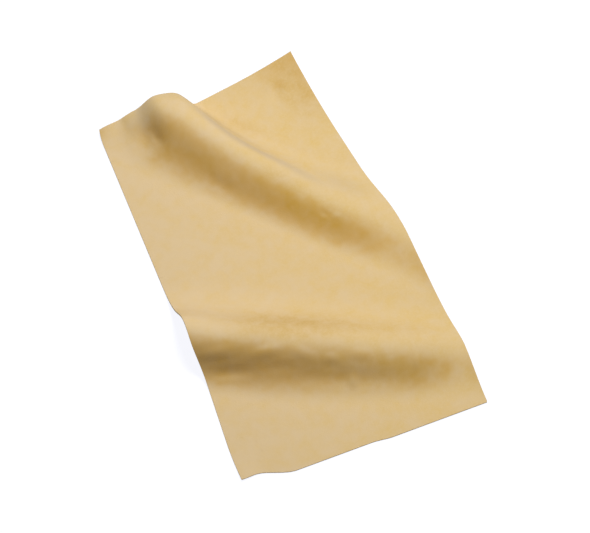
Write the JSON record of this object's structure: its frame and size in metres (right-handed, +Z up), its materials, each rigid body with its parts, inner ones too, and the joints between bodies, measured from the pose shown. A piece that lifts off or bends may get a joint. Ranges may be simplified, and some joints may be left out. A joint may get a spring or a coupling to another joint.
{
  "type": "chamois cloth",
  "caption": "Synthetic chamois drying cloth, a felt laminate with a net inside and bare cut edges, laid down with two soft folds",
  "frame": {"origin": "the middle of the laid cloth's footprint, on the surface that it lies on", "axes": "+Y along the cloth towards its top edge, +X across it towards its right edge, +Z up"},
  "size_m": [0.3976, 0.6856, 0.0612],
  "materials": {
    "face_suede": "buff suede-finished fibre felt, matt, lightly mottled",
    "net_yarn": "off-white polyester yarn",
    "back_felt": "buff fibre felt, matt"
  },
  "bodies": {
    "root": {"face_layer": "face_suede", "scrim_net": "net_yarn", "back_layer": "back_felt"}
  },
  "joints": []
}
